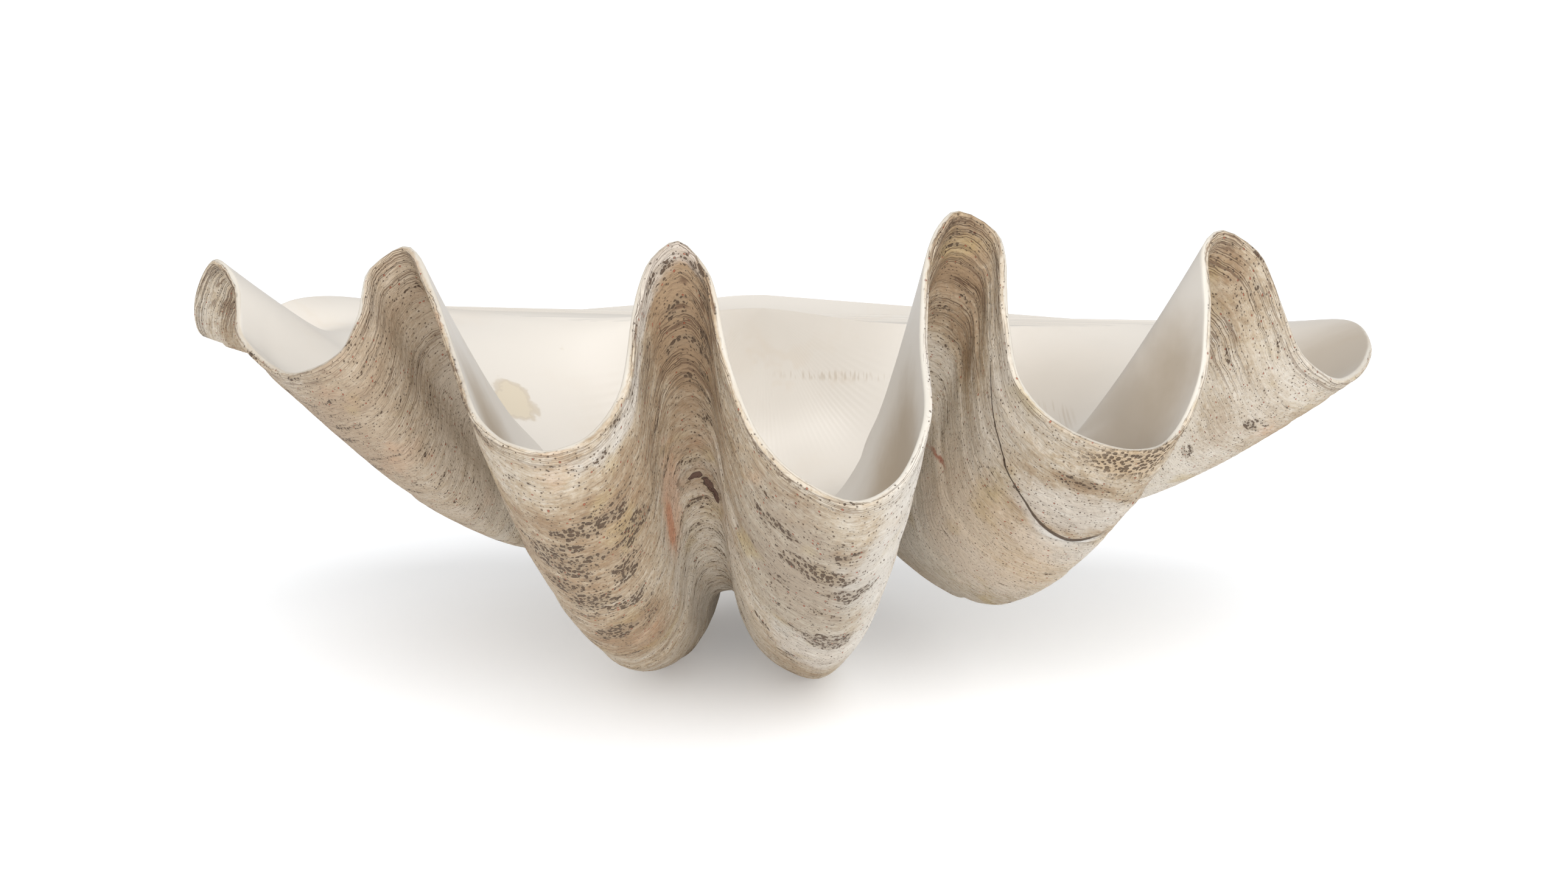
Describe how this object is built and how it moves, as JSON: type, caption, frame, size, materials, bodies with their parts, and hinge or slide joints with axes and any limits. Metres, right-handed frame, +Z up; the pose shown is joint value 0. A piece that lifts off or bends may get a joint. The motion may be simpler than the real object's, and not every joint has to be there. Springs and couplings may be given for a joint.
{
  "type": "giant clam half shell",
  "caption": "Single valve of a giant clam lying hollow side up: deeply folded wavy margin, ribbed and ledged outside, smooth filled inside, thick straight hinge at the back.",
  "frame": {"origin": "on the ground under the middle of the shell's box, the shell resting on its two middle ribs as in the picture", "axes": "+X along the hinge towards the right end, +Y from the wavy margin back to the hinge, +Z up out of the hollow"},
  "size_m": [0.8746, 0.5545, 0.3753],
  "materials": {
    "shell_lime": "weathered shell lime, matt and pitted outside, smooth and slightly glossy cream inside"
  },
  "bodies": {
    "root": {"giant_clam_half_shell": "shell_lime"}
  },
  "joints": []
}
